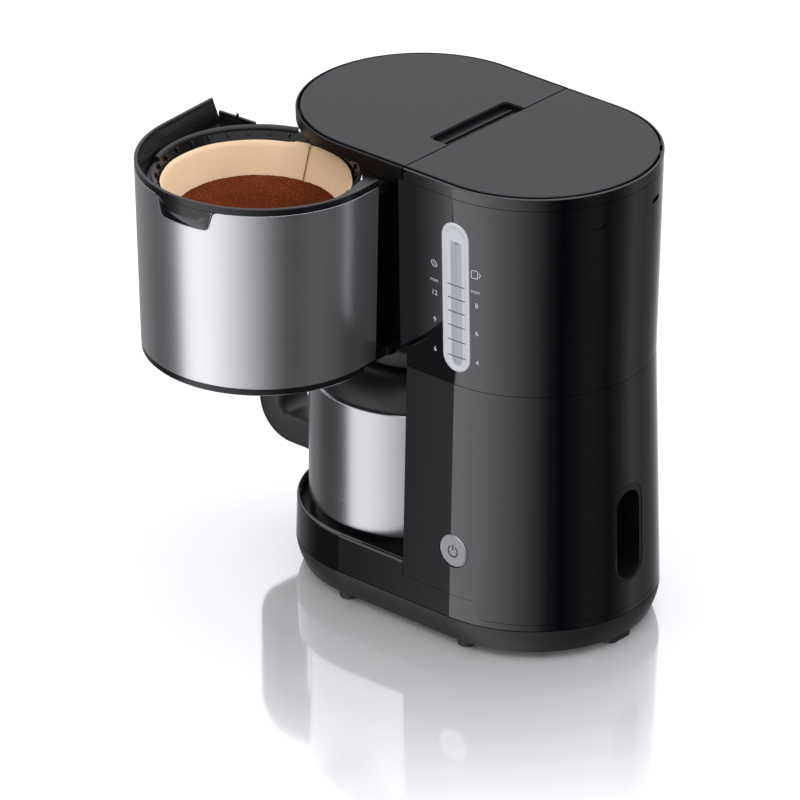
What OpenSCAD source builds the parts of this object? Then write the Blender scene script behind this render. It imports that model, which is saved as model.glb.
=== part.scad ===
/* [Body] */
// Height of the machine from the floor to the top plate
body_h = 340; // [335:1:345]
// Half the distance between the centres of the two round ends
half_span = 49.3; // [48:0.1:51]
// Radius of the round ends at the top
top_r = 84.4; // [84:0.1:85]
// Radius of the round ends at the waist, where the tank meets the lower housing
waist_r = 81.2; // [80.8:0.1:81.6]
// Radius of the round ends at the bottom of the gloss wall
base_r = 85.7; // [85.2:0.1:86.2]
// Height of the waist
waist_z = 195; // [194.5:0.1:195.5]
// Height of the joint between the matte skirt and the gloss wall
skirt_z = 23.3; // [22.5:0.1:24]
// Height of the skirt's lower edge above the floor
skirt_low = 5.7; // [5.5:0.1:6]
// Wall thickness of the moulded housings
wall = 2.6; // [2.4:0.1:2.8]

/* [Tower] */
// Left face of the tower
tower_x = 8; // [7.5:0.1:8.5]
// Radius of the hollow that holds the carafe and the basket
recess_r = 79; // [78.6:0.1:79.4]
// Top plane of the tank housing
tank_top = 330.6; // [330.4:0.1:330.7]
// Centre of the power button and of the water gauge along the front
front_x = 51.5; // [50:0.5:54]
// Height of the power button's centre
button_z = 73.2; // [70:0.1:78]
// Radius of the power button
button_r = 11.7; // [11:0.1:12]

/* [Cradle] */
// Top of the rim round the carafe tray
rim_z = 51.5; // [51:0.1:51.7]
// Floor of the carafe tray
tray_z = 45; // [44.5:0.1:45.5]
// Top of the raised stand that carries the carafe
stand_z = 51.8; // [51.8:0.1:51.9]
// Radius of the raised stand
stand_r = 73; // [72:0.1:73.5]

/* [Brew basket] */
// Angle from the closed basket to the open one
open_angle = 94; // [90:1:96]
// Hinge axis of the basket
hinge = [-15.1, -76];
// Top of the basket's ring
ring_top = 330.3; // [330:0.1:330.4]
// Width of the ring from its outer edge to the foot of its inner slope
rim_w = 8.5; // [8.2:0.1:8.8]
// Width of the ring's narrow lip
lip_w = 2.5; // [2.2:0.1:3]
// Centre of the filter cone in the closed basket
cone_at = [-50, 4];
// Inner radius of the filter cone at its mouth
cone_r = 67.1; // [66.9:0.1:67.2]
// Height of the filter cone's mouth
cone_top = 316.7; // [316.4:0.1:317]
// Height of the paper's edge
paper_top = 312; // [310:0.5:313]

/* [Carafe] */
// Radius of the steel barrel
barrel_r = 76.8; // [76:0.1:77]
// Top edge of the steel barrel
barrel_top = 145.9; // [145:0.1:147]
// Farthest reach of the handle from the middle of the machine
handle_x = 187; // [184:0.1:189]
// Half width of the handle
handle_w = 15; // [13:0.5:15.5]

/* [Hidden] */
$fn = 96;

gap = 0.3;                 // joint between two mouldings
chamfer = 0.5;             // broken edge of a moulding
deck = 2.6;                // thickness of the tower's inner floor
cradle_wall = 3;           // wall of the base housing
seam_high = 40.5;          // base seam beside the cradle
seam_low = 28;             // base seam round the tower's end
seam_x = [67, 74.6];       // where the seam steps down
outlet = [44, -20];        // water outlet of the tank
riser = [44, 20];          // hot riser
hose_r = 5;
hose_bore = 3.3;
heater_z = 60;
heater_bend = 20;          // radius of the heater's U
heater_x = 62;             // centre of the heater's U
heater_r = 8;
heater_leg = 6;            // straight end of the heater before its elbow
pocket_w = 29;             // cord pocket opening
pocket_z = [46.8, 118.4];
pocket_back = 96;
gland_z = 60;
top_plate = 3;             // thickness of the satin top plates
plate_gap = 1.7;           // groove round the satin top plates
lip = 1.5;                 // wall of the collar round the top plates
plate_low = body_h - top_plate;
collar_low = tank_top + 0.4;
collar_top = body_h - 0.6;
split_x = 6.8;             // joint between the tank lid and the head cover
split_gap = 0.6;           // half of that joint
lid_axis = [118, 338.2];   // hinge of the tank lid, as x and z
pin_r = 0.85;
pin_y = [36, 47];          // ends of a lid pin
recess_box = [-10.6, 39];  // finger recess: left edge and half length
hinge_r = 3;
column_r = 17;
column_z = [203.5, 317.5];
column_side = 2.3;         // left face of the part of the column beside the upper knuckle
facade = [198.8, 325.4];   // steel facade from bottom to top
facade_t = 0.6;
shell_t = 2.4;
front_end = -33;           // where the basket's front wall ends when closed
rear_end = 2;              // where the basket's rear wall ends when closed
cone_low = 210;
cone_low_r = 26;
cone_t = 2.2;
bead_span = [15, 112];     // angles that the bead runs between when the basket is closed
deck_z = 314.4;            // top of the basket's deck
deck_end = 6.2;            // right edge of the basket's deck when closed
end_wall = [[0, 75.4, 323.5], [4.2, 48.5, 320.7]]; // top edge of the slanting wall at the deck's right edge
carafe_at = [-half_span, 0];
foot_z = 52;
barrel_low = 53.7;
shoulder_top = 168;
lid_top = 184.5;

// Radius of the body's round ends at a height: waisted, with draft both ways
function body_r(z) = z >= waist_z
    ? waist_r + (top_r - waist_r) * (z - waist_z) / (body_h - waist_z)
    : waist_r + (base_r - waist_r) * (waist_z - z) / (waist_z - skirt_z);
// Points of an arc about a centre
function arc(c, r, a0, a1, n = 8) =
    [for (i = [0:n]) let (a = a0 + (a1 - a0) * i / n) [c[0] + r * cos(a), c[1] + r * sin(a)]];
// Inner radius of the filter cone at a height
function cone_at_z(z) = cone_low_r + (cone_r - cone_low_r) * (z - cone_low) / (cone_top - cone_low);
// Profile of a drafted wall of the body between two heights, with broken outer edges
function wall_profile(z0, z1, inset, t, edge = chamfer) = let (r0 = body_r(z0) - inset, r1 = body_r(z1) - inset)
    [[r0 - t, z0], [r0 - edge, z0], [r0, z0 + edge], [r1, z1 - edge], [r1 - edge, z1], [r1 - t, z1]];
// Profile of a solid drafted slab
function slab_profile(z0, z1, inset) = [[0, z0], [body_r(z0) - inset, z0], [body_r(z1) - inset, z1], [0, z1]];
// Rounded trapezium of the badge tab, as (y, z)
tab_low = 311.7;
tab_half = [20.2, 22.4];
tab_outline = concat(
    [[-tab_half[1] - 3, facade[1] + 0.1]],
    arc([-tab_half[1] - 3, facade[1] - 3], 3, 90, 8, 4),
    arc([-tab_half[0] + 4, tab_low + 4], 4, 180, 270, 5),
    arc([tab_half[0] - 4, tab_low + 4], 4, 270, 360, 5),
    arc([tab_half[1] + 3, facade[1] - 3], 3, 172, 90, 4),
    [[tab_half[1] + 3, facade[1] + 0.1]]);

// Solid with round ends and straight sides from a half profile of (radius, height)
module oval(profile) {
    for (end = [0, 1])
        mirror([end, 0, 0]) translate([half_span, 0, 0]) rotate([0, 0, -90])
            rotate_extrude(angle = 180) polygon(profile);
    for (side = [0, 1])
        mirror([0, side, 0]) translate([-half_span, 0, 0]) rotate([90, 0, 90])
            linear_extrude(2 * half_span) polygon(profile);
}

// U-shaped basket wall: a half round left end and two straight sides, in the closed position
module basket_wall(profile, front = front_end, rear = rear_end) {
    translate([-half_span, 0, 0]) rotate([0, 0, 90]) rotate_extrude(angle = 180) polygon(profile);
    translate([-half_span, 0, 0]) mirror([0, 1, 0]) rotate([90, 0, 90])
        linear_extrude(half_span + front) polygon(profile);
    translate([-half_span, 0, 0]) rotate([90, 0, 90]) linear_extrude(half_span + rear) polygon(profile);
}

// Everything right of a plane
module right_of(x) { translate([x, -150, -10]) cube([300, 300, 400]); }
// Everything left of a plane
module left_of(x) { translate([x - 400, -150, -10]) cube([400, 300, 400]); }
// Solid of revolution about a vertical axis
module turned(at, profile) { translate([at[0], at[1], 0]) rotate_extrude() polygon(profile); }
// Vertical tube
module tube(at, r, bore, z0, z1) {
    translate([at[0], at[1], z0]) difference() {
        cylinder(r = r, h = z1 - z0);
        translate([0, 0, -1]) cylinder(r = bore, h = z1 - z0 + 2);
    }
}
// Vertical rod
module rod(at, r, z0, z1) { translate([at[0], at[1], z0]) cylinder(r = r, h = z1 - z0); }
// Upright pill of a given width, drawn in the X-Z plane and extruded along +Y
module pill_y(w, z0, z1, depth) {
    rotate([90, 0, 0]) translate([0, 0, -depth]) linear_extrude(depth) pill(w, z0, z1);
}
module pill(w, z0, z1) {
    polygon(concat(arc([0, z1 - w / 2], w / 2, 0, 180, 24), arc([0, z0 + w / 2], w / 2, 180, 360, 24)));
}
// Solid outline of the tower, drawn in by an inset, between two heights
module tower(inset, z0, z1) {
    difference() {
        oval(slab_profile(z0, z1, inset));
        left_of(tower_x + inset);
        rod(carafe_at, recess_r + inset, z0 - 1, z1 + 1);
    }
}
// Body side of the stepped seam: everything above it
module above_seam(shift) {
    steps = [for (i = [0:12]) [seam_x[0] + (seam_x[1] - seam_x[0]) * i / 12,
        seam_low + shift + (seam_high - seam_low) * (1 + cos(180 * i / 12)) / 2]];
    translate([0, 150, 0]) rotate([90, 0, 0]) linear_extrude(300)
        polygon(concat([[tower_x - 0.5, 400], [tower_x - 0.5, seam_high + shift]], steps,
            [[300, seam_low + shift], [300, 400]]));
}
// Moves the closed basket to its open position
module swung() {
    translate([hinge[0], hinge[1], 0]) rotate([0, 0, open_angle]) translate([-hinge[0], -hinge[1], 0]) children();
}
// Coil spring along Z, its wire swept as a polygon
module coil(r, wire, z0, z1, turns) {
    steps = turns * 20;
    sides = 6;
    points = [for (i = [0:steps]) let (a = 360 * i / 20, z = z0 + wire + (z1 - z0 - 2 * wire) * i / steps)
        for (k = [0:sides - 1]) let (b = 360 * k / sides, q = r + wire * cos(b))
            [q * cos(a), q * sin(a), z + wire * sin(b)]];
    faces = concat([[for (k = [0:sides - 1]) k]],
        [for (i = [0:steps - 1]) for (k = [0:sides - 1]) let (n = (k + 1) % sides)
            [i * sides + k, (i + 1) * sides + k, (i + 1) * sides + n, i * sides + n]],
        [[for (k = [sides - 1:-1:0]) steps * sides + k]]);
    polyhedron(points, faces);
}

// ---- Base ----

// Matte skirt that curves in towards the floor
module base_skirt() {
    steps = 8;
    flare = base_r - 81;
    outer = [for (i = [0:steps]) [81 + flare * sin(90 * i / steps), skirt_low + (skirt_z - 0.2 - skirt_low) * i / steps]];
    color("#35363a") oval(concat(outer, [[base_r - 3, skirt_z - 0.2], [78, skirt_low]]));
}

screw_spots = [for (x = [-100, 0, 95]) for (y = [-45, 45]) [x, y]];
// Gloss base with its deck, screw bosses and the wall round the cradle
module base_housing() {
    rim_r = body_r(rim_z);
    color("#101014") difference() {
        union() {
            oval(concat(
                [[body_r(skirt_z) - cradle_wall, skirt_z], [body_r(skirt_z) - chamfer, skirt_z], [body_r(skirt_z), skirt_z + chamfer]],
                arc([rim_r - 2, rim_z - 2], 2, 0, 90, 6),
                arc([rim_r - cradle_wall + 0.6, rim_z - 0.6], 0.6, 90, 180, 3)));
            oval([[0, skirt_z], [base_r - 2.8, skirt_z], [base_r - 2.8, skirt_z + 2.2], [0, skirt_z + 2.2]]);
            for (spot = screw_spots) rod(spot, 4, skirt_low + 2.5, skirt_z + 1);
        }
        above_seam(0);
        for (spot = screw_spots) rod(spot, 1.8, skirt_low, 14);
    }
}

module base_plate() {
    color("#1c1c1f") difference() {
        oval([[0, skirt_low], [77.6, skirt_low], [77.6, skirt_low + 2.5], [0, skirt_low + 2.5]]);
        for (spot = screw_spots) rod(spot, 2.2, skirt_low - 1, skirt_low + 4);
    }
}

module base_screws() {
    color("#9a9ca0") for (spot = screw_spots)
        turned(spot, [[0, skirt_low - 1.8], [2.4, skirt_low - 1.8], [3.6, skirt_low - 0.9], [3.6, skirt_low],
            [1.8, skirt_low], [1.8, 13.5], [0, 14]]);
}

module feet() {
    color("#151517") for (spot = [[54, -72.5], [54, 72.5], [-50, -74], [-50, 74], [0, 0]])
        turned(spot, [[0, 0], [5.8, 0], [6.4, 0.7], [6.6, skirt_low], [0, skirt_low]]);
}

module rear_foot() {
    color("#151517") {
        for (y = [-6.5, 6.5]) rod([123, y], 5, 0, skirt_low);
        translate([118, -6.5, 0]) cube([10, 13, skirt_low]);
    }
}

// Tray of the cradle with the raised stand and a drip channel round it
module carafe_tray() {
    color("#17171a") {
        difference() {
            union() {
                difference() {
                    oval([[0, tray_z - 2], [81.8, tray_z - 2], [81.8, tray_z], [0, tray_z]]);
                    right_of(tower_x - gap);
                }
                rod(carafe_at, recess_r - gap, tray_z - 2, tray_z);
            }
            rod(carafe_at, stand_r - 2, tray_z - 3, tray_z + 1);
        }
        turned(carafe_at, [[0, stand_z - 1.8], [stand_r - 2, stand_z - 1.8], [stand_r - 2, tray_z - 2], [stand_r, tray_z - 2],
            [stand_r, stand_z - 0.8], [stand_r - 0.8, stand_z], [0, stand_z]]);
    }
}

// ---- Tower ----

module lower_housing() {
    top = waist_z - 0.2;
    color("#0d0d11") difference() {
        intersection() {
            tower(0, seam_low, top);
            above_seam(gap);
        }
        tower(wall, seam_low - 1, top - deck);
        translate([front_x, -60, button_z]) rotate([90, 0, 0]) cylinder(r = button_r + 0.3, h = 40);
        translate([140, 0, 0]) rotate([0, 0, 90]) pill_y(pocket_w, pocket_z[0], pocket_z[1], 34);
        rod(outlet, 6.05, 180, 200);
        rod(riser, 5.2, 180, 200);
    }
}

// Cup in the tower's end where the mains lead is pushed in, with a stepped lip
module cord_pocket() {
    w = pocket_w - 0.3;
    color("#0a0a0c") difference() {
        intersection() {
            translate([140, 0, 0]) rotate([0, 0, 90]) pill_y(w, pocket_z[0] + 0.15, pocket_z[1] - 0.15, 140 - pocket_back);
            oval(slab_profile(skirt_z, waist_z, 0.4));
        }
        translate([140, 0, 0]) rotate([0, 0, 90]) pill_y(23, 48.5, 113, 140 - pocket_back - 2.5);
        translate([140, 0, 0]) rotate([0, 0, 90]) pill_y(26, 48.2, 116.6, 7.5);
        translate([pocket_back - 5, 0, gland_z]) rotate([0, 90, 0]) cylinder(r = 5.1, h = 10);
    }
}

// Bush in the pocket's floor that the mains lead would come out of
module cord_gland() {
    color("#202024") translate([pocket_back - 6, 0, gland_z]) rotate([0, 90, 0]) difference() {
        union() {
            cylinder(r = 5, h = 14);
            translate([0, 0, 8.5]) cylinder(r = 7.5, h = 2.5);
        }
        translate([0, 0, -1]) cylinder(r = hose_bore, h = 20);
    }
}

vent_angle = 20.3;
module tank_housing() {
    low = waist_z + 0.2;
    color("#0d0d11") difference() {
        tower(0, low, tank_top);
        tower(wall, low - 1, tank_top + 1);
        gauge_pill(11.35, -3, 6, -0.15);
        for (side = [-1, 1]) translate([half_span, 0, 315]) rotate([0, 0, side * vent_angle]) {
            translate([70, -4.2, -1.75]) cube([20, 8.4, 3.5]);
            for (end = [-4.2, 4.2]) translate([70, end, 0]) rotate([0, 90, 0]) cylinder(r = 1.75, h = 20);
        }
    }
}

gauge_z = [205, 313.5];
gauge_tilt = atan((top_r - waist_r) / (body_h - waist_z));
// Upright pill that leans with the front wall, between two depths behind the wall's face
module gauge_pill(half_w, y0, y1, inset = 0) {
    translate([front_x, -waist_r, waist_z]) rotate([gauge_tilt, 0, 0]) translate([0, y0, -waist_z])
        pill_y(2 * half_w, gauge_z[0] + inset, gauge_z[1] - inset, y1 - y0);
}

// Frosted window of the water gauge, slightly proud of the front wall
module gauge_window() {
    color("#c9ccd1") {
        gauge_pill(11.2, -0.5, wall - 0.1);
        gauge_pill(10.5, -1.2, -0.5, 0.7);
    }
}

// Inner tank, open at the top, with a dry pipe for the riser
module water_tank() {
    color("#3a3c42") difference() {
        tower(wall + gap, waist_z + 2, 326);
        tower(wall + gap + 2, waist_z + 4, 327);
        rod(outlet, 6.05, 190, 205);
        rod(riser, 5.2, 190, 205);
    }
    color("#3a3c42") tube(riser, 7, 5.2, waist_z + 3, 326);
}

module tank_sieve() {
    color("#d8d8d8") turned(outlet, [[4, waist_z + 4], [9, waist_z + 4], [9, waist_z + 12], [7, waist_z + 15],
        [0, waist_z + 15], [0, waist_z + 14], [6.6, waist_z + 14], [8, waist_z + 11.8], [8, waist_z + 5], [4, waist_z + 5]]);
}

module tank_seal() {
    color("#c0522e") turned(outlet, [[4, waist_z - 2.8], [6, waist_z - 2.8], [6, waist_z + 4], [4, waist_z + 4]]);
}

module cold_hose() {
    color("#dfe0e2") {
        tube(outlet, hose_r, hose_bore, 150, waist_z - 2.8);
        tube(outlet, hose_r, hose_bore, heater_z + 20, 130);
    }
}

module check_valve() {
    color("#f0f0f0") turned(outlet, [[hose_bore, 130], [hose_r, 130], [8, 134], [8, 146], [hose_r, 150], [hose_bore, 150]]);
}

// Flow heater: a U of aluminium with its two ends turned up
module heater() {
    color("#b9bcc0") translate([0, 0, heater_z]) {
        translate([heater_x, 0, 0]) rotate([0, 0, -90]) rotate_extrude(angle = 180)
            translate([heater_bend, 0]) circle(r = heater_r);
        for (side = [-1, 1]) translate([0, side * heater_bend, 0]) {
            translate([heater_x - heater_leg, 0, 0]) rotate([0, 90, 0]) cylinder(r = heater_r, h = heater_leg);
            translate([heater_x - heater_leg, 0, 12]) rotate([90, 90, 0])
                rotate_extrude(angle = -90) translate([12, 0]) circle(r = hose_r);
            translate([outlet[0], 0, 12]) cylinder(r = hose_r, h = 8);
        }
    }
}

module heater_bracket() {
    plate = heater_z - heater_r;
    color("#a4a7ab") {
        translate([46, -30, plate - 1.5]) cube([40, 60, 1.5]);
        for (y = [-30, 28.5]) translate([46, y, skirt_z + 2.2]) cube([40, 1.5, plate - skirt_z - 3.7]);
    }
}

module thermostat() {
    color("#8d8f94") turned([heater_x + heater_bend, 0], [[0, heater_z + heater_r], [7, heater_z + heater_r],
        [7, heater_z + heater_r + 4], [4, heater_z + heater_r + 7], [0, heater_z + heater_r + 7]]);
}

module thermal_fuses() {
    color("#e8e4d8") for (y = [-6, 6])
        translate([50, y, heater_z - heater_r + 2.2]) rotate([0, 90, 0]) cylinder(r = 2.2, h = 22);
}

module riser_tube() { color("#e6e6e6") tube(riser, 4.6, 3, heater_z + 20, 335); }

// Flat duct from the riser to the spray head
module brew_channel() {
    along = cone_at - riser;
    length = norm(along);
    color("#d9d9db") difference() {
        translate([riser[0], riser[1], 332.5]) rotate([0, 0, atan2(along[1], along[0])]) difference() {
            union() {
                translate([0, -7, 0]) cube([length, 14, 2.5]);
                cylinder(r = 7, h = 2.5);
                translate([length, 0, 0]) cylinder(r = 12, h = 2.5);
            }
            translate([0, -5, 0.6]) cube([length, 10, 1.3]);
        }
        rod(riser, 4.6, 330, 336);
    }
}

spray_r = 24;
module spray_head() {
    color("#2a2a2e") difference() {
        rod(cone_at, spray_r, collar_low + 0.1, collar_low + 1.5);
        for (ring = [8, 17]) for (i = [0:7]) let (a = 45 * i + ring)
            rod(cone_at + ring * [cos(a), sin(a)], 1, collar_low - 1, collar_low + 3);
    }
}

module switch_board() {
    color("#2d6b45") translate([front_x - 16, -64, button_z - 14]) cube([32, 1.6, 28]);
    color("#202020") translate([front_x, -64, button_z]) rotate([90, 0, 0]) difference() {
        cylinder(r = 5, h = 12);
        translate([0, 0, 1]) cylinder(r = 3.1, h = 12);
    }
    color("#2d6b45") for (x = [-13, 13]) for (z = [-11, 11])
        translate([front_x + x, -64, button_z + z]) rotate([90, 0, 0]) cylinder(r = 2, h = x < 0 ? 17.2 : 15.4);
}

button_front = -body_r(button_z);
module power_button() {
    color("#9b9da2") translate([front_x, button_front + 10, button_z]) rotate([90, 0, 0])
        rotate_extrude() polygon([[0, 0], [3, 0], [3, 5.2], [9, 5.2], [9, 3.4], [button_r, 3.4],
            [button_r, 9.4], [button_r - 0.8, 10.2], [0, 10.2]]);
}

// Rubber dome in the switch that returns the button
module button_dome() {
    color("#6b6d70") translate([front_x, -65, button_z]) rotate([90, 0, 0])
        rotate_extrude() polygon([[0, 0], [2.9, 0], [2.9, 5], [1.8, 7.8], [0, 7.8]]);
}

// ---- Top ----

// Rounded collar that the top plates lie in
function collar_profile() = let (r = body_r(collar_low), q = body_r(collar_top)) concat(
    [[r - lip, collar_low], [r, collar_low]],
    arc([q - 0.9, collar_top - 0.9], 0.9, 0, 90, 5),
    arc([q - lip + 0.4, collar_top - 0.4], 0.4, 90, 180, 3));

module tank_collar() {
    color("#0d0d11") difference() {
        union() {
            oval(collar_profile());
            difference() {
                oval([[78.4, collar_low], [83, collar_low], [83, collar_low + 1.6], [78.4, collar_low + 1.6]]);
                right_of(100);
            }
            for (x = [30, 80]) for (side = [-1, 1]) rod([x, side * (x < 50 ? 80 : 73.6)], 1.2, collar_low, plate_low - 0.1);
        }
        left_of(split_x + split_gap);
        for (side = [0, 1]) mirror([0, side, 0]) translate([lid_axis[0], 44, lid_axis[1]]) rotate([-90, 0, 0])
            cylinder(r = pin_r + 0.05, h = pin_y[1] - 43.9);
    }
}

function plate_profile() = let (r = body_r(body_h) - lip - plate_gap) concat(
    [[0, plate_low], [r, plate_low]], arc([r - 0.8, body_h - 0.8], 0.8, 0, 90, 5), [[0, body_h]]);

module tank_lid() {
    color("#55565b") difference() {
        union() {
            oval(plate_profile());
            intersection() {
                oval([[70, plate_low - 2], [72, plate_low - 2], [72, plate_low + 1], [70, plate_low + 1]]);
                left_of(100);
            }
        }
        left_of(split_x + split_gap);
        for (side = [0, 1]) mirror([0, side, 0]) translate([lid_axis[0], pin_y[0], lid_axis[1]]) rotate([-90, 0, 0])
            cylinder(r = pin_r, h = 14);
    }
}

module tank_lid_pins() {
    color("#17171a") for (side = [0, 1]) mirror([0, side, 0])
        translate([lid_axis[0], pin_y[0], lid_axis[1]]) rotate([-90, 0, 0]) cylinder(r = pin_r, h = pin_y[1] - pin_y[0]);
}

// Gloss band and floor of the brew head, with the spray head's opening
module brew_head_cover() {
    color("#0d0d11") {
        difference() {
            union() {
                difference() {
                    oval(collar_profile());
                    right_of(split_x - split_gap);
                }
                difference() {
                    oval([[0, collar_low], [83, collar_low], [83, collar_low + 1.4], [0, collar_low + 1.4]]);
                    right_of(split_x - split_gap);
                }
                intersection() {
                    rod(carafe_at, recess_r + 3, collar_low, collar_low + 1.4);
                    translate([0, -56, 300]) cube([60, 112, 60]);
                }
            }
            rod(cone_at, spray_r + 0.3, collar_low - 2, collar_low + 4);
            rod(riser, 4.8, collar_low - 2, collar_low + 4);
        }
        for (spot = [[-100, -50], [-100, 50], [-30, -66], [-30, 66]])
            rod(spot, 4, collar_low + 1.4, plate_low);
        difference() {
            intersection() {
                rod(hinge, column_r + 0.2, knuckles[1][1] + 0.9, collar_low + 0.5);
                oval(slab_profile(waist_z, body_h, 0.3));
            }
            rod(hinge, hinge_r + 0.05, 320, 329.3);
        }
    }
}

// Satin plate over the brew head with the opening for the finger well
module head_top_plate() {
    color("#55565b") difference() {
        oval(plate_profile());
        right_of(split_x - split_gap);
        finger_space(recess_box[0], recess_box[1], plate_low - 1, body_h + 1);
    }
}

// Black well beside the tank lid, with a rail along its floor
module finger_well() {
    floor_z = plate_low - 1.6;
    color("#101012") {
        difference() {
            union() {
                finger_space(recess_box[0] + 0.1, recess_box[1] - 0.1, floor_z, body_h - 0.5);
                finger_space(recess_box[0] - 2, recess_box[1] + 2, floor_z, plate_low - 0.1);
            }
            right_of(split_x - split_gap);
            finger_space(recess_box[0] + 1.1, recess_box[1] - 1.1, floor_z + 0.8, body_h + 1);
        }
        translate([recess_box[0] + 8, 4 - recess_box[1], floor_z + 0.7]) cube([1.6, 2 * (recess_box[1] - 4), 1.3]);
    }
}
// Slot beside the lid with round corners on its closed side
module finger_space(x0, half_l, z0, z1) {
    r = 4;
    translate([0, 0, z0]) linear_extrude(z1 - z0)
        polygon(concat(arc([x0 + r, half_l - r], r, 90, 180, 6), arc([x0 + r, r - half_l], r, 180, 270, 6),
            [[20, -half_l], [20, half_l]]));
}

// ---- Basket hinge ----

module hinge_column() {
    color("#08080a") difference() {
        intersection() {
            union() {
                rod(hinge, column_r, column_z[0], column_z[1]);
                translate([hinge[0], hinge[1] - 12, column_z[0]])
                    cube([tower_x - hinge[0], 22, column_z[1] - column_z[0]]);
                translate([column_side, hinge[1] - 12, column_z[0]])
                    cube([tower_x - column_side, 22, tank_top - column_z[0]]);
            }
            oval(slab_profile(waist_z, body_h, 0.3));
        }
        rod(hinge, hinge_r, 190, 340);
    }
}

module hinge_pin() { color("#c4c6ca") rod(hinge, hinge_r, 197.5, 329); }

// ---- Basket ----

// Flat part inside the basket: left half, a disc round the cone, the rear corner and the corner by the hinge
module basket_floor(z0, z1, opening) {
    difference() {
        intersection() {
            oval([[0, z0], [body_r(z0) - 2.6, z0], [body_r(z1) - 2.6, z1], [0, z1]]);
            union() {
                left_of(-half_span);
                rod(cone_at, 71, z0 - 1, z1 + 1);
                translate([-half_span - 1, 40, z0 - 1]) cube([half_span + 1 + deck_end, 60, z1 - z0 + 2]);
                translate([-half_span, -90, z0 - 1]) cube([half_span + hinge[0] - 1, 50, z1 - z0 + 2]);
                translate([hinge[0] - 2, hinge[1] + 15, z0 - 1]) cube([2 - hinge[0] + 2, 25, z1 - z0 + 2]);
            }
        }
        rod(cone_at, opening, z0 - 1, z1 + 1);
    }
}

// Wall 2 mm thick along X between two points of its sloping top edge
module deck_wall(a, b, low) {
    polyhedron([[a[0], a[1], low], [a[0] + 2, a[1], low], [b[0] + 2, b[1], low], [b[0], b[1], low],
            a, [a[0] + 2, a[1], a[2]], [b[0] + 2, b[1], b[2]], b],
        [[0, 3, 2, 1], [4, 5, 6, 7], [0, 1, 5, 4], [1, 2, 6, 5], [2, 3, 7, 6], [3, 0, 4, 7]]);
}

knuckles = [[196.5, 203], [318, 325.3]];
knuckle_r = 16;
// Black carrier of the basket with its two hinge knuckles
module basket_shell() {
    color("#121215") swung() difference() {
        union() {
            basket_wall(wall_profile(facade[0] + 0.1, facade[1] - 0.1, facade_t + 0.1, shell_t, 0.1));
            basket_floor(facade[0] + 0.1, facade[0] + 2.6, 16);
            basket_floor(deck_z - 2.8, deck_z, cone_r + cone_t + 0.3);
            deck_wall(end_wall[0], end_wall[1], deck_z - 2);
            rod([3.1, 61.8], 0.95, deck_z - 1, end_wall[0][2] + 0.6);
            intersection() {
                rod(hinge, knuckle_r, knuckles[1][0], knuckles[1][1]);
                oval(slab_profile(waist_z, body_h, facade_t + 0.4));
                translate([hinge[0], hinge[1], 0]) rotate([0, 0, -open_angle]) translate([-hinge[0], -hinge[1], 0])
                    oval(slab_profile(waist_z, body_h, facade_t + 0.4));
            }
            for (span = knuckles) {
                rod(hinge, 7, span[0], span[1]);
                intersection() {
                    translate([hinge[0] - 29, hinge[1] - 10, span[0]]) cube([29, 16, span[1] - span[0]]);
                    oval(slab_profile(waist_z, body_h, facade_t + 0.4));
                }
            }
        }
        for (span = knuckles) rod(hinge, hinge_r + 0.06, span[0] - 1, span[1] + 1);
        rod(hinge, column_r + 0.6, column_z[0] - 0.4, column_z[1] + 0.4);
    }
}

// Extrudes the badge tab's outline through the left end of the basket
module tab_space(grow) {
    translate([-160, 0, 0]) rotate([90, 0, 90]) linear_extrude(60)
        polygon([for (p = tab_outline) [p[0] * (1 + grow / 20), p[1] - grow]]);
}

module basket_facade() {
    color("#c8c9cc") swung() difference() {
        basket_wall(wall_profile(facade[0], facade[1], 0, facade_t, 0.2));
        tab_space(0.15);
    }
}

// Gusset inside the ring's lip that widens towards the hinge
lip_gusset = concat([[front_end, -82.4], [front_end, -73], [-42, -74.6], [-52, -76.6], [-62, -77.6], [-72, -77.4]],
    arc([-half_span, 0], 82.4, 252, 270, 6));
// Ring on top of the basket with a rim and the blank badge tab
module basket_ring() {
    r = body_r(ring_top);
    band = facade[1] + 0.1;
    color("#1a1b1e") swung() {
        difference() {
            basket_wall(concat([[body_r(band) - 2.8, band], [body_r(band), band]],
                arc([r - 0.8, ring_top - 0.8], 0.8, 0, 90, 4),
                [[r - lip_w + 0.3, ring_top], [r - lip_w, ring_top - 0.4], [r - lip_w - 0.7, ring_top - 2.7],
                 [r - lip_w - 2.7, ring_top - 7.1], [r - lip_w - 4.6, ring_top - 11.5], [r - rim_w, deck_z + 0.1],
                 [r - rim_w + 2, deck_z + 0.1], [r - lip_w - 2.7, ring_top - 11.5], [r - lip_w - 1.5, ring_top - 7],
                 [r - lip_w - 1, band]]));
            translate([hinge[0] - 29.1, hinge[1] - 6.2, deck_z - 1]) cube([30, 20, knuckles[1][1] - deck_z + 1.1]);
        }
        translate([0, 0, ring_top - 3.4]) linear_extrude(2.6) polygon(lip_gusset);
        intersection() {
            basket_wall([[body_r(tab_low) - facade_t, tab_low - 1], [body_r(tab_low) + 0.25, tab_low - 1],
                [body_r(band) + 0.25, band], [body_r(band) - facade_t, band]]);
            tab_space(0);
        }
    }
}

module basket_bottom_ring() {
    low = waist_z - 1.4;
    color("#121215") swung() difference() {
        basket_wall([[body_r(low) - 6, low], [body_r(low) - 1.4, low], [body_r(low) - 0.2, low + 1.2],
            [body_r(low) - 0.2, facade[0] - 0.1], [body_r(low) - 6, facade[0] - 0.1]], hinge[0] - 30, rear_end);
        rod(hinge, 8, 190, 200);
    }
}

cone_slope = (cone_r - cone_low_r) / (cone_top - cone_low);
cone_lean = atan(cone_slope);
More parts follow.
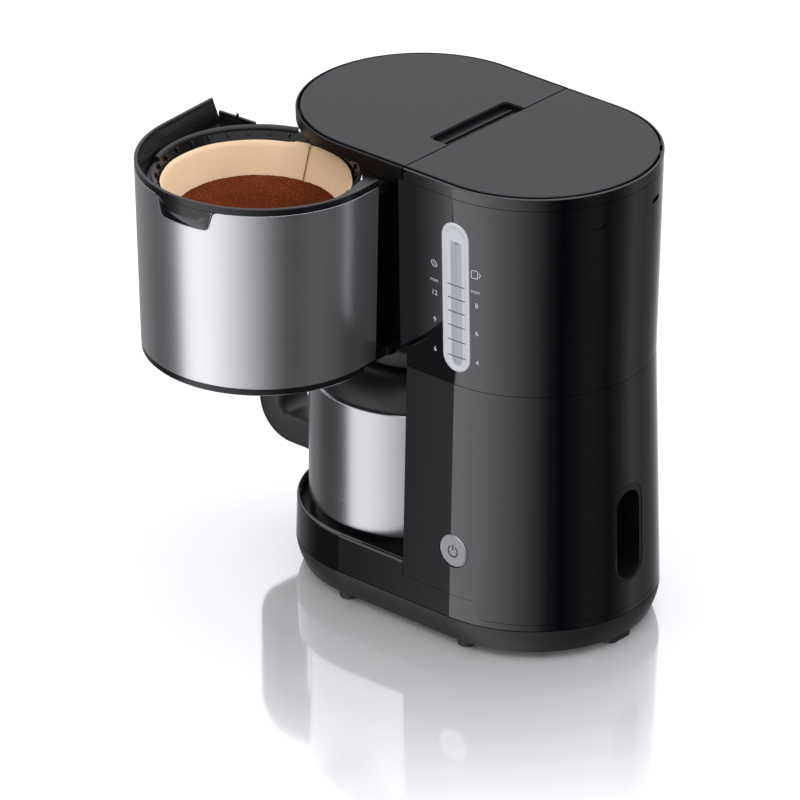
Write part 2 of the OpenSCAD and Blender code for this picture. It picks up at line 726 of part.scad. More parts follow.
// Ribbed cone that holds the paper, with a rounded collar and the outlet
module filter_holder() {
    color("#131316") swung() {
        turned(cone_at, concat([[5.2, cone_low - 2], [11, cone_low - 2], [11, 193], [13, 193], [13, cone_low - 2],
            [cone_low_r + cone_t, cone_low - 2], [cone_r + cone_t, cone_top]],
            [[cone_r + cone_t, cone_top + 0.8], [cone_r + 0.4, cone_top + 0.8], [cone_r, cone_top + 0.4],
             [cone_low_r, cone_low], [5.2, cone_low]]));
        translate([cone_at[0], cone_at[1], 0]) rotate([0, 0, bead_span[0]]) rotate_extrude(angle = bead_span[1] - bead_span[0])
            polygon(arc([cone_r + 1.8, cone_top + 1.2], 2.4, -25, 205, 12));
        for (i = [0:29]) translate([cone_at[0], cone_at[1], 0]) rotate([0, 0, 12 * i])
            translate([cone_low_r + 1, -0.6, cone_low + 1]) rotate([0, cone_lean, 0])
                translate([-0.7, 0, 2]) cube([1.2, 1.2, (cone_top - cone_low - 4.5) / cos(cone_lean)]);
    }
}

module filter_paper() {
    low = cone_low + 5;
    color("#e3bd8c") swung() turned(cone_at, [[0, low], [cone_at_z(low) - 1.7, low], [cone_at_z(paper_top) - 1.7, paper_top],
        [cone_at_z(paper_top) - 2.2, paper_top], [cone_at_z(low) - 2.2, low + 0.5], [0, low + 0.5]]);
}

coffee_z = 290;
module coffee_grounds() {
    low = cone_low + 5.6;
    color("#4a2413") swung() turned(cone_at, [[0, low], [cone_at_z(low) - 2.4, low], [cone_at_z(coffee_z) - 2.4, coffee_z],
        [38, coffee_z + 2], [20, coffee_z + 3.4], [0, coffee_z + 4]]);
}

// Drip stop: its head closes the outlet, its foot is pushed up by the carafe
module drip_valve() {
    color("#d0d0d0") swung() turned(cone_at, [[0, 189], [7.5, 189], [8.5, 190], [8.5, 191.4], [4, 191.4], [4, cone_low],
        [8, cone_low], [6, cone_low + 1.6], [0, cone_low + 1.6]]);
}

module valve_spring() {
    color("#b8babd") swung() translate([cone_at[0], cone_at[1], 0]) coil(6.6, 0.6, 191.4, cone_low - 2, 5);
}

// ---- Carafe ----

module carafe_shell() {
    r = barrel_r;
    roll = 1.8;
    color("#c8c9cc") turned(carafe_at, concat([[70, barrel_low], [r - 1, barrel_low], [r, barrel_low + 1]],
        arc([r - roll, barrel_top - roll], roll, 0, 90, 6),
        [[r - roll - 0.8, barrel_top], [r - roll - 0.8, barrel_top - 0.9], [r - roll, barrel_top - 1], [r - 1, barrel_top - roll],
         [r - 1, barrel_low + 1.4], [r - 1.4, barrel_low + 1], [70, barrel_low + 1]]));
}

module carafe_flask() {
    color("#b0b2b6") turned(carafe_at, [[0, 58], [66, 58], [71, 63], [71, 138], [62, 150], [47, 158], [47, 167],
        [46.2, 167], [46.2, 157.5], [61.5, 149.3], [70.2, 137.7], [70.2, 63.4], [65.6, 58.8], [0, 58.8]]);
}

module carafe_foot() {
    color("#17171a") turned(carafe_at, [[0, foot_z], [72, foot_z], [73.5, foot_z + 0.8], [73.5, barrel_low], [0, barrel_low]]);
}

// Shoulder of the carafe: a dome between the barrel and the neck
function shoulder_arc(grow) = [for (i = [0:20]) let (a = 90 * i / 20)
    [54 + (20.4 + grow) * cos(a), barrel_top + 0.1 + (shoulder_top - barrel_top - 0.1 + grow) * sin(a)]];
module carafe_collar() {
    color("#1b1b1e") difference() {
        turned(carafe_at, concat([[47.2, barrel_top + 8], [70.5, barrel_top + 0.1]], shoulder_arc(0),
            [[47.2, shoulder_top]]));
        turned(carafe_at, [[0, 100], [71.2, 100], [71.2, 138.2], [62.2, 150.3], [47.1, 158.3], [47.1, 170], [0, 170]]);
    }
}

// D-shaped grip in the X-Z plane
module carafe_handle() {
    outer_r = 29;
    t = 22;
    low = 56;
    high = 176;
    reach = -handle_x;
    outline = concat([[-95, high]], arc([reach + outer_r, high - outer_r], outer_r, 90, 180, 8),
        arc([reach + outer_r, low + outer_r], outer_r, 180, 270, 8), [[-95, low]]);
    hole = concat([[-100, high - t]], arc([reach + outer_r, high - outer_r], outer_r - t, 90, 180, 8),
        arc([reach + outer_r, low + outer_r], outer_r - t, 180, 270, 8), [[-100, low + t]]);
    color("#17171a") difference() {
        translate([0, handle_w, 0]) rotate([90, 0, 0]) linear_extrude(2 * handle_w) difference() {
            polygon(outline);
            polygon(hole);
        }
        turned(carafe_at, concat([[0, 40], [barrel_r + 0.05, 40], [barrel_r + 0.05, barrel_top]], shoulder_arc(0.05),
            [[0, shoulder_top + 0.05]]));
        rod(carafe_at, 54, 150, 200);
    }
}

module carafe_lid() {
    low = shoulder_top + 0.3;
    color("#19191c") difference() {
        turned(carafe_at, concat([[4, 152], [42, 152], [44, 154], [44, low], [51, low], [52.5, low + 1.5]],
            arc([46.5, lid_top - 6], 6, 0, 90, 6), [[24, lid_top], [21, lid_top - 3], [4, lid_top - 5]]));
        translate([-half_span - 60, -11, lid_top - 7]) cube([38, 22, 20]);
        turned(carafe_at, [[8, 150], [40, 150], [40, 165], [8, 165]]);
        translate([lever_axis[0], 13, lever_axis[1]]) rotate([90, 0, 0]) cylinder(r = 1.5, h = 26);
    }
}

module lid_seal() {
    color("#8c8e92") turned(carafe_at, [[44, 160], [45.4, 160], [46, 161], [46, 162], [45.4, 163], [44, 163]]);
}

lever_axis = [-half_span - 33, 181];
module pour_lever() {
    color("#232326") difference() {
        union() {
            translate([lever_axis[0] - 30, -10, 180.6]) cube([36, 20, 3.6]);
            translate([lever_axis[0] - 33, -10, 180.6]) cube([5, 20, 5]);
            translate([lever_axis[0], 10, lever_axis[1]]) rotate([90, 0, 0]) cylinder(r = 2.6, h = 20);
        }
        translate([lever_axis[0], 20, lever_axis[1]]) rotate([90, 0, 0]) cylinder(r = 1.55, h = 40);
    }
}

module lever_pin() {
    color("#c4c6ca") translate([lever_axis[0], 13, lever_axis[1]]) rotate([90, 0, 0]) cylinder(r = 1.5, h = 26);
}

base_skirt();
base_housing();
base_plate();
base_screws();
feet();
rear_foot();
carafe_tray();
lower_housing();
cord_pocket();
cord_gland();
tank_housing();
gauge_window();
water_tank();
tank_sieve();
tank_seal();
cold_hose();
check_valve();
heater();
heater_bracket();
thermostat();
thermal_fuses();
riser_tube();
brew_channel();
spray_head();
switch_board();
power_button();
button_dome();
tank_collar();
tank_lid();
tank_lid_pins();
brew_head_cover();
head_top_plate();
finger_well();
hinge_column();
hinge_pin();
basket_shell();
basket_facade();
basket_ring();
basket_bottom_ring();
filter_holder();
filter_paper();
coffee_grounds();
drip_valve();
valve_spring();
carafe_shell();
carafe_flask();
carafe_foot();
carafe_collar();
carafe_handle();
carafe_lid();
lid_seal();
pour_lever();
lever_pin();
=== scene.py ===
"""Looks of the drip coffee maker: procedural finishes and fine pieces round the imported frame."""
import math
import random

import bmesh
import bpy
from mathutils import Matrix, Vector, noise


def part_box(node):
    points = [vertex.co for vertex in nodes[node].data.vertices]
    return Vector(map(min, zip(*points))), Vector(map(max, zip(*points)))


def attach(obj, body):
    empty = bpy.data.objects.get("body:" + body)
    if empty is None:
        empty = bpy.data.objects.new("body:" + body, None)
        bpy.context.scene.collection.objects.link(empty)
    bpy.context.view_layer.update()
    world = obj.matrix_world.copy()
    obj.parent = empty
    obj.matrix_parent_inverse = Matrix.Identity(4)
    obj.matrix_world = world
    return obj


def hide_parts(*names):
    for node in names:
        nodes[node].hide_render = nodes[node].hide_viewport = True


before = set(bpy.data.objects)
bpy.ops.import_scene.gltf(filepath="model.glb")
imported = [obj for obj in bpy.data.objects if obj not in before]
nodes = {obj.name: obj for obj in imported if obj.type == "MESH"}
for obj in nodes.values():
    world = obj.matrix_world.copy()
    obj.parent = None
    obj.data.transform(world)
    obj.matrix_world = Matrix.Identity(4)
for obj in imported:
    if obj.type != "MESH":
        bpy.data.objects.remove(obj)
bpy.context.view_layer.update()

scene = bpy.context.scene

# ---- Camera ----

CAMERA_AZIMUTH = math.radians(41.256)
CAMERA_ELEVATION = math.radians(26.623)
CAMERA_TARGET = Vector((0.0156, -0.0967, 0.1780))
CAMERA_DISTANCE = 5.27


def add_camera():
    az, el = CAMERA_AZIMUTH, CAMERA_ELEVATION
    back = Vector((math.cos(el) * math.sin(az), -math.cos(el) * math.cos(az), math.sin(el)))
    right = Vector((math.cos(az), math.sin(az), 0))
    up = back.cross(right)
    data = bpy.data.cameras.new("camera")
    data.lens = 360
    data.sensor_width = 36
    data.clip_end = 100
    camera = bpy.data.objects.new("camera", data)
    turn = Matrix((right, up, back)).transposed().to_4x4()
    camera.matrix_world = Matrix.Translation(CAMERA_TARGET + CAMERA_DISTANCE * back) @ turn
    scene.collection.objects.link(camera)
    scene.camera = camera


add_camera()

# ---- Node helpers ----


class Tree:
    """Short way to add nodes and links to one node tree."""

    def __init__(self, tree):
        self.tree = tree
        tree.nodes.clear()

    def add(self, kind, inputs=None, **settings):
        node = self.tree.nodes.new(kind)
        for key, value in settings.items():
            setattr(node, key, value)
        for key, value in (inputs or {}).items():
            if isinstance(value, bpy.types.NodeSocket):
                self.tree.links.new(value, node.inputs[key])
            else:
                node.inputs[key].default_value = value
        return node

    def math(self, operation, a, b=0.0):
        node = self.add("ShaderNodeMath", operation=operation)
        for i, value in enumerate((a, b)):
            if isinstance(value, bpy.types.NodeSocket):
                self.tree.links.new(value, node.inputs[i])
            else:
                node.inputs[i].default_value = value
        return node.outputs[0]

    def ramp(self, factor, stops):
        node = self.add("ShaderNodeValToRGB", {"Fac": factor})
        elements = node.color_ramp.elements
        while len(elements) < len(stops):
            elements.new(0.5)
        for element, (position, colour) in zip(elements, stops):
            element.position = position
            element.color = colour if len(colour) == 4 else (*colour, 1)
        return node.outputs["Color"]

    def span(self, value, low, high, to_low, to_high, smooth=False):
        node = self.add("ShaderNodeMapRange", {"Value": value, "From Min": low, "From Max": high,
                                               "To Min": to_low, "To Max": to_high})
        node.interpolation_type = "SMOOTHSTEP" if smooth else "LINEAR"
        return node.outputs["Result"]


# ---- World: a soft studio with tall panels round the object ----

# Panel brightness by direction in degrees, for light that comes from the side and below
PANELS = [(-180, 0.2), (-172, 0.11), (-160, 0.05), (-147, 0.05), (-137, 0.06), (-132.3, 0.07), (-131, 0.09),
          (-130.1, 0.15), (-129.5, 0.35), (-127.8, 1.62), (-118, 1.62), (-101, 1.53), (-80, 1.05), (-58, 0.55),
          (-36, 0.08), (-25, 0.01), (-13, 0.04), (0, 0.1), (10, 0.1), (22, 0.04), (38, 0.14), (52, 0.35), (70, 0.2),
          (85, 0.2), (98, 0.32), (115, 0.65), (131, 0.95), (145, 0.45), (159, 0.3), (170, 0.26), (180, 0.2)]
PANEL_PEAK = 2.0
HORIZON = 0.9
ZENITH = 1.9
SKY_FROM = 0.35  # height of direction where the sky starts to brighten towards the zenith
BLEND_HEIGHT = (-0.04, 0.1)  # heights of direction between which the panels give way to the sky
STUDIO_TINT = (0.965, 0.965, 1.0, 1)


def add_world():
    world = bpy.data.worlds.new("studio")
    scene.world = world
    world.use_nodes = True
    t = Tree(world.node_tree)
    direction = t.add("ShaderNodeTexCoord").outputs["Generated"]
    axes = t.add("ShaderNodeSeparateXYZ", {0: direction}).outputs
    azimuth = t.math("ARCTAN2", axes["Y"], axes["X"])
    around = t.span(azimuth, -math.pi, math.pi, 0, 1)
    stops = [((a + 180) / 360, (v / PANEL_PEAK,) * 3) for a, v in PANELS]
    panels = t.math("MULTIPLY", t.ramp(around, stops), PANEL_PEAK)
    sky = t.span(axes["Z"], SKY_FROM, 1, HORIZON, ZENITH)
    upward = t.span(axes["Z"], *BLEND_HEIGHT, 0, 1, smooth=True)
    shade = t.add("ShaderNodeMix", {"Factor": upward, "A": panels, "B": sky}).outputs["Result"]
    background = t.add("ShaderNodeBackground", {"Color": STUDIO_TINT, "Strength": shade})
    t.add("ShaderNodeOutputWorld", {"Surface": background.outputs[0]})


add_world()

# ---- Floor: a pale sheet that mirrors faintly beside the object ----

FLOOR_HALF = 40.0
MIRROR_REACH = (0.13, 0.43)  # distances from the middle between which the mirror fades out, in metres
MIRROR_SHARE = 0.5
FLOOR_ROUGHNESS = 0.07


def add_floor():
    mesh = bpy.data.meshes.new("floor")
    half = FLOOR_HALF
    mesh.from_pydata([(-half, -half, 0), (half, -half, 0), (half, half, 0), (-half, half, 0)], [], [(0, 1, 2, 3)])
    floor = bpy.data.objects.new("floor", mesh)
    scene.collection.objects.link(floor)
    floor.visible_diffuse = floor.visible_glossy = floor.visible_shadow = False
    material = bpy.data.materials.new("floor_sheet")
    material.use_nodes = True
    t = Tree(material.node_tree)
    where = t.add("ShaderNodeTexCoord").outputs["Object"]
    away = t.add("ShaderNodeVectorMath", {0: where}, operation="LENGTH").outputs["Value"]
    mirror = t.span(away, *MIRROR_REACH, MIRROR_SHARE, 0.0, smooth=True)
    cloud = t.add("ShaderNodeTexNoise", {"Vector": where, "Scale": 3.0}).outputs["Fac"]
    tone = t.ramp(cloud, [(0.3, (0.93, 0.93, 0.94)), (0.7, (0.95, 0.95, 0.95))])
    matte = t.add("ShaderNodeBsdfDiffuse", {"Color": tone})
    gloss = t.add("ShaderNodeBsdfGlossy", {"Color": (1, 1, 1, 1), "Roughness": FLOOR_ROUGHNESS})
    mix = t.add("ShaderNodeMixShader", {"Fac": mirror, 1: matte.outputs[0], 2: gloss.outputs[0]})
    t.add("ShaderNodeOutputMaterial", {"Surface": mix.outputs[0]})
    mesh.materials.append(material)


add_floor()
scene.view_settings.view_transform = "Standard"

# ---- Finishes ----


RELIEF = 0.0002  # depth of the grain, in metres


def finish(name, colour, rough, grain=400.0, spread=0.12, rough_spread=0.04, bump=0.02, metallic=0.0,
           brushed=None, ior=1.5, cloudy=14.0):
    """Procedural finish: slow cloudy change of colour and roughness, and a fine grain in both and in relief.

    brushed stretches the grain: a vector of scale factors for the object's axes.
    """
    material = bpy.data.materials.new(name)
    material.use_nodes = True
    t = Tree(material.node_tree)
    where = t.add("ShaderNodeTexCoord").outputs["Object"]
    slow = t.add("ShaderNodeTexNoise", {"Vector": where, "Scale": cloudy, "Detail": 3.0}).outputs["Fac"]
    place = where
    if brushed:
        place = t.add("ShaderNodeMapping", {"Vector": where, "Scale": brushed}).outputs["Vector"]
    fine = t.add("ShaderNodeTexNoise", {"Vector": place, "Scale": grain, "Detail": 4.0,
                                        "Roughness": 0.6}).outputs["Fac"]
    both = t.math("ADD", t.math("MULTIPLY", slow, 0.5), t.math("MULTIPLY", fine, 0.5))
    dark = tuple(c * (1 - spread) for c in colour)
    light = tuple(min(1, c * (1 + spread)) for c in colour)
    tone = t.ramp(both, [(0.35, dark), (0.65, light)])
    roughness = t.span(both, 0.35, 0.65, max(0.02, rough - rough_spread), min(1, rough + rough_spread))
    relief = t.add("ShaderNodeBump", {"Height": fine, "Strength": bump, "Distance": RELIEF})
    shader = t.add("ShaderNodeBsdfPrincipled", {
        "Base Color": tone, "Roughness": roughness, "Metallic": metallic, "IOR": ior,
        "Normal": relief.outputs["Normal"]})
    t.add("ShaderNodeOutputMaterial", {"Surface": shader.outputs[0]})
    return material


ALONG_WALL = (9.0, 9.0, 3200.0)  # grain stretched round upright walls
FINISHES = {
    "gloss_black": finish("gloss_black", (0.0022, 0.002, 0.0034), 0.045, grain=60, spread=0.2, rough_spread=0.015,
                          bump=0.015, cloudy=6, ior=1.72),
    "satin_black": finish("satin_black", (0.006, 0.006, 0.0075), 0.26, grain=1500, bump=0.05),
    "matte_black": finish("matte_black", (0.014, 0.014, 0.016), 0.42, grain=2200, bump=0.25),
    "satin_charcoal": finish("satin_charcoal", (0.0075, 0.0070, 0.0095), 0.2, grain=2600, bump=0.06, spread=0.08,
                             ior=1.35),
    "head_black": finish("head_black", (0.0018, 0.0018, 0.0028), 0.36, grain=900, bump=0.03, ior=1.33),
    "well_black": finish("well_black", (0.004, 0.004, 0.0055), 0.35, grain=1500, bump=0.05, ior=1.3),
    "satin_silver": finish("satin_silver", (0.36, 0.37, 0.39), 0.38, grain=1200, bump=0.05, metallic=0.75),
    "brushed_steel": finish("brushed_steel", (0.66, 0.66, 0.675), 0.31, grain=1.0, brushed=ALONG_WALL, spread=0.05,
                            rough_spread=0.03, bump=0.03, metallic=0.95, cloudy=3),
    "barrel_steel": finish("barrel_steel", (0.49, 0.49, 0.505), 0.25, grain=1.0, brushed=ALONG_WALL, spread=0.05,
                           rough_spread=0.03, bump=0.03, metallic=0.97, cloudy=3),
    "steel": finish("steel", (0.6, 0.6, 0.61), 0.22, grain=900, bump=0.04, metallic=1.0),
    "sheet_steel": finish("sheet_steel", (0.52, 0.53, 0.54), 0.34, grain=500, bump=0.06, metallic=1.0),
    "cast_aluminium": finish("cast_aluminium", (0.55, 0.56, 0.58), 0.5, grain=900, bump=0.3, metallic=1.0),
    "foot_rubber": finish("foot_rubber", (0.01, 0.01, 0.011), 0.62, grain=1800, bump=0.2),
    "silicone": finish("silicone", (0.45, 0.12, 0.05), 0.5, grain=800, bump=0.08),
    "silicone_hose": finish("silicone_hose", (0.7, 0.7, 0.7), 0.45, grain=500, bump=0.05),
    "frosted_window": finish("frosted_window", (0.62, 0.64, 0.66), 0.3, grain=900, bump=0.03, spread=0.04),
    "tank_plastic": finish("tank_plastic", (0.012, 0.013, 0.016), 0.2, grain=300, bump=0.02),
    "white_plastic": finish("white_plastic", (0.75, 0.75, 0.73), 0.35, grain=900, bump=0.04),
    "fuse_ceramic": finish("fuse_ceramic", (0.7, 0.66, 0.56), 0.6, grain=1400, bump=0.2),
    "board": finish("board", (0.02, 0.13, 0.06), 0.4, grain=700, bump=0.05),
    "filter_paper": finish("filter_paper", (1.0, 0.72, 0.46), 0.85, grain=1100, bump=0.25, spread=0.07, cloudy=30),
    "black_steel": finish("black_steel", (0.02, 0.02, 0.022), 0.35, grain=900, bump=0.05, metallic=0.6),
    "scale_print": finish("scale_print", (0.10, 0.105, 0.11), 0.5, grain=900, bump=0.02),
    "label_print": finish("label_print", (0.8, 0.81, 0.84), 0.5, grain=900, bump=0.02),
    # grey of the gauge strip: painted shade of the window's recessed channel
    "scale_core": finish("scale_core", (0.4, 0.415, 0.44), 0.3, grain=900, bump=0.02, spread=0.05),
    "icon_print": finish("icon_print", (0.02, 0.02, 0.024), 0.5, grain=900, bump=0.02),
    "paper_shadow": finish("paper_shadow", (0.16, 0.07, 0.03), 0.9, grain=900, bump=0.02),
    "coffee_light": finish("coffee_light", (0.3, 0.11, 0.035), 0.9, grain=900, bump=0.3, spread=0.6, ior=1.12),
    "ground_coffee": finish("ground_coffee", (0.115, 0.022, 0.0065), 0.95, grain=1300, bump=0.6, spread=0.6,
                            ior=1.12),
}

for node in nodes.values():
    for i, old in enumerate(node.data.materials):
        node.data.materials[i] = FINISHES[old.name.split(".")[0]]
# nodes whose finish differs a little from the rest of their slot
for node_name, finish_name in (("carafe_shell", "barrel_steel"), ("brew_head_cover", "head_black"),
                               ("finger_well", "well_black")):
    nodes[node_name].data.materials[0] = FINISHES[finish_name]

# ---- Measures of the CAD model, in millimetres ----

HALF_SPAN = 49.3
WAIST = (195.0, 81.2)
TOP = (340.0, 84.4)
HINGE = (-15.1, -76.0)
OPEN_ANGLE = math.radians(94)
FRONT_X = 51.5
GAUGE_Z = (205.0, 313.5)
GAUGE_HALF = 11.2
CONE_AT = (-50.0, 4.0)
CONE_LOW, CONE_TOP = 210.0, 316.7
CONE_LOW_R, CONE_R = 26.0, 67.1
PAPER_TOP = 312.0
COFFEE_Z = 290.0
BUTTON = (51.5, 73.2)
LIP_BAND = 325.4
TAB_LOW = 311.7
TAB_HALF = (20.2, 22.4)


def body_r(z):
    """Radius of the machine's round ends above the waist."""
    return WAIST[1] + (TOP[1] - WAIST[1]) * (z - WAIST[0]) / (TOP[0] - WAIST[0])


def swung(point):
    """Moves a point of the closed basket to the open position that is the rest pose."""
    x, y = point[0] - HINGE[0], point[1] - HINGE[1]
    c, s = math.cos(OPEN_ANGLE), math.sin(OPEN_ANGLE)
    return Vector((HINGE[0] + c * x - s * y, HINGE[1] + s * x + c * y, point[2]))


CONE_OPEN = swung((*CONE_AT, 0))


def front_wall(along, z, out):
    """Point out from the front wall, at a distance along it from the machine's middle, round the right end too."""
    r = body_r(z)
    if along <= HALF_SPAN:
        return Vector((along, -(r + out), z))
    turn = (along - HALF_SPAN) / r
    return Vector((HALF_SPAN + (r + out) * math.sin(turn), -(r + out) * math.cos(turn), z))


def cone_r(z):
    return CONE_LOW_R + (CONE_R - CONE_LOW_R) * (z - CONE_LOW) / (CONE_TOP - CONE_LOW)


# ---- Mesh helpers ----


def piece(name, mesh, body, slot, finish_name=None, replaces=(), smooth=True):
    """Links a mesh given in millimetres as a piece that rides on a body."""
    mesh.transform(Matrix.Scale(0.001, 4))
    mesh.materials.clear()
    mesh.materials.append(FINISHES[finish_name or slot])
    for face in mesh.polygons:
        face.use_smooth = smooth
    mesh.validate()
    obj = bpy.data.objects.new(name, mesh)
    scene.collection.objects.link(obj)
    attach(obj, body)
    if replaces:
        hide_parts(*replaces)
    return obj


def skin(name, rings, caps=(True, True)):
    """Closed mesh through rings of points, with a face over the first and last ring where caps asks for it."""
    points = [tuple(p) for ring in rings for p in ring]
    n = len(rings[0])
    faces = [(r * n + i, r * n + (i + 1) % n, (r + 1) * n + (i + 1) % n, (r + 1) * n + i)
             for r in range(len(rings) - 1) for i in range(n)]
    if caps[0]:
        faces.append(tuple(range(n - 1, -1, -1)))
    if caps[1]:
        faces.append(tuple(range((len(rings) - 1) * n, len(rings) * n)))
    mesh = bpy.data.meshes.new(name)
    mesh.from_pydata(points, [], faces)
    mesh.update()
    tidy = bmesh.new()
    tidy.from_mesh(mesh)
    bmesh.ops.recalc_face_normals(tidy, faces=tidy.faces)
    tidy.to_mesh(mesh)
    tidy.free()
    return mesh


def joined(name, parts):
    """One mesh from several."""
    tidy = bmesh.new()
    for part in parts:
        tidy.from_mesh(part)
    mesh = bpy.data.meshes.new(name)
    tidy.to_mesh(mesh)
    tidy.free()
    return mesh


def stroke(name, path, width, place, thick=(0.02, 0.14), closed=False):
    """Raised flat line of a given width along a path of (u, v), laid on a surface by place(u, v, out)."""
    rings = []
    n = len(path)
    for i, point in enumerate(path):
        before = path[(i - 1) % n] if closed or i else point
        after = path[(i + 1) % n] if closed or i < n - 1 else point
        dx, dy = after[0] - before[0], after[1] - before[1]
        size = math.hypot(dx, dy) or 1
        nx, ny = -dy / size * width / 2, dx / size * width / 2
        rings.append([place(point[0] + k * nx, point[1] + k * ny, out)
                      for k, out in ((1, thick[0]), (1, thick[1]), (-1, thick[1]), (-1, thick[0]))])
    if closed:
        rings.append(rings[0])
    mesh = skin(name, rings, caps=(not closed, not closed))
    if closed:
        tidy = bmesh.new()
        tidy.from_mesh(mesh)
        bmesh.ops.remove_doubles(tidy, verts=tidy.verts, dist=1e-5)
        tidy.to_mesh(mesh)
        tidy.free()
    return mesh


def arc(cx, cy, r, a0, a1, n):
    return [(cx + r * math.cos(math.radians(a0 + (a1 - a0) * i / n)),
             cy + r * math.sin(math.radians(a0 + (a1 - a0) * i / n))) for i in range(n + 1)]


# ---- Water gauge: frosted window, scale and labels on the wall ----


def pill(inset):
    """Outline of the gauge window drawn in by an inset, as (across, height)."""
    r = GAUGE_HALF - inset
    low, high = GAUGE_Z[0] + GAUGE_HALF, GAUGE_Z[1] - GAUGE_HALF
    side = 16
    right = [(r, low + (high - low) * i / side) for i in range(side)]
    left = [(-r, high - (high - low) * i / side) for i in range(side)]
    return right + arc(0, high, r, 0, 180, 24)[:-1] + left + arc(0, low, r, 180, 360, 24)[:-1]


def add_gauge():
    sections = [(0, -2.4), (0, 0.0), (0.25, 0.42), (0.8, 0.6), (2.0, 0.6), (2.7, 0.42), (3.6, -0.25), (4.3, -0.4),
                (7.5, -0.45), (10.8, -0.45)]
    rings = [[front_wall(FRONT_X + u, z, out) for u, z in pill(inset)] for inset, out in sections]
    piece("gauge_glass", skin("gauge_glass", rings), "machine", "frosted_window", replaces=["gauge_window"])

    # darker strip down the middle of the window: painted shade of the window's recessed middle channel
    rings = [[front_wall(FRONT_X + 0.3 + u * 0.55, min(z, GAUGE_Z[1] - 14), out) for u, z in pill(inset)]
             for inset, out in ((3.0, -0.5), (3.0, -0.43), (3.4, -0.4), (10.8, -0.4))]
    piece("gauge_shaded_strip", skin("gauge_shaded_strip", rings), "machine", "frosted_window", "scale_core")

    marks = []
    for i, z in enumerate((267.8, 258.0, 248.2, 237.9, 227.2, 215.7)):
        path = [(FRONT_X - 8.2 + 16.2 * k / 10, z) for k in range(11)]
        marks.append(stroke(f"mark{i}", path, 0.75, front_wall, (-0.5, -0.33)))
    piece("gauge_scale", joined("gauge_scale", marks), "machine", "frosted_window", "scale_print", smooth=False)


def words(text, size):
    """Flat closed mesh of a short text, centred on the origin, in millimetres."""
    curve = bpy.data.curves.new("words", "FONT")
    curve.body = text
    curve.size = size
    curve.align_x = "CENTER"
    curve.align_y = "CENTER"
    curve.extrude = 0.06
    curve.offset = -0.06
    curve.resolution_u = 3
    carrier = bpy.data.objects.new("words", curve)
    scene.collection.objects.link(carrier)
    bpy.context.view_layer.update()
    mesh = bpy.data.meshes.new_from_object(carrier.evaluated_get(bpy.context.evaluated_depsgraph_get()))
    bpy.data.objects.remove(carrier)
    bpy.data.curves.remove(curve)
    return mesh


def add_labels():
    parts = []
    left, right = 33.3, 68.0
    for text, along, z, size in (("max", left, 266.8, 4.1), ("12", left, 257.3, 5.2), ("9", left, 237.4, 5.2),
                                 ("6", left, 216.0, 5.2), ("max", right - 0.8, 267.8, 4.1), ("8", right, 257.6, 5.2),
                                 ("6", right, 237.2, 5.2), ("4", right, 215.6, 5.2)):
        mesh = words(text, size)
        for v in mesh.vertices:
            v.co = front_wall(along + v.co.x, z + v.co.y, 0.07 + v.co.z)
        parts.append(mesh)
    # a coffee bean and a cup, in plain lines
    tilt = math.radians(35)
    bean = []
    for i in range(28):
        a = 2 * math.pi * i / 28
        x, y = 2.7 * math.cos(a), 1.9 * math.sin(a)
        bean.append((left + x * math.cos(tilt) + y * math.sin(tilt), 278.7 - x * math.sin(tilt) + y * math.cos(tilt)))
    parts.append(stroke("bean", bean, 0.38, front_wall, (0.01, 0.13), closed=True))
    crease = [(-1.6 + 3.2 * i / 10, 0.4 * math.sin(2 * math.pi * i / 10)) for i in range(11)]
    crease = [(left + x * math.cos(tilt) + y * math.sin(tilt), 278.7 - x * math.sin(tilt) + y * math.cos(tilt))
              for x, y in crease]
    parts.append(stroke("crease", crease, 0.34, front_wall, (0.01, 0.13)))
    w, h, r = 2.3, 2.8, 0.8
    x, z = right - 1.3, 280.2
    cup = (arc(x + w - r, z + h - r, r, 0, 90, 4) + arc(x - w + r, z + h - r, r, 90, 180, 4)
           + arc(x - w + r, z - h + r, r, 180, 270, 4) + arc(x + w - r, z - h + r, r, 270, 360, 4))
    parts.append(stroke("cup", cup, 0.42, front_wall, (0.01, 0.13), closed=True))
    parts.append(stroke("ear", arc(x + w + 0.3, z, 1.6, -78, 78, 10), 0.42, front_wall, (0.01, 0.13)))
    piece("gauge_labels", joined("gauge_labels", parts), "machine", "frosted_window", "label_print", smooth=False)


def add_power_icon():
    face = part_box("power_button")[0].y * 1000

    def place(u, v, out):
        return Vector((BUTTON[0] + u, face - out, BUTTON[1] + v))

    parts = [stroke("ring", arc(0, -0.2, 3.9, 122, 418, 36), 1.05, place, (-0.1, 0.06)),
             stroke("bar", [(0, 0.7), (0, 2), (0, 3.4), (0, 4.7)], 1.05, place, (-0.1, 0.06))]
    piece("power_icon", joined("power_icon", parts), "button", "matte_black", "icon_print", smooth=False)


# ---- Badge tab: blank gloss panel with a painted highlight along its edge ----


def basket_end(y, z, out):
    """Point out from the basket's round end, in the open position."""
    r = body_r(z) + out
    turn = math.asin(max(-1, min(1, y / body_r(z))))
    return swung((-HALF_SPAN - r * math.cos(turn), r * math.sin(turn), z))


def tab_outline(inset):
    """Outline of the badge tab drawn in by an inset, as (along, height)."""
    low, half_low, half_high = TAB_LOW + inset, TAB_HALF[0] - inset, TAB_HALF[1] - inset
    corner = 4 - 0.5 * inset
    top = LIP_BAND - 0.2
    slant = [(half_high - (half_high - half_low) * t, top - (top - low - corner) * t) for t in (0, 0.25, 0.5, 0.75)]
    path = [(-y, z) for y, z in slant]
    path += arc(-half_low + corner, low + corner, corner, 180, 270, 8)
    path += [(-half_low + corner + 2 * (half_low - corner) * i / 14, low) for i in range(1, 14)]
    path += arc(half_low - corner, low + corner, corner, 270, 360, 8)
    return path + slant[::-1]


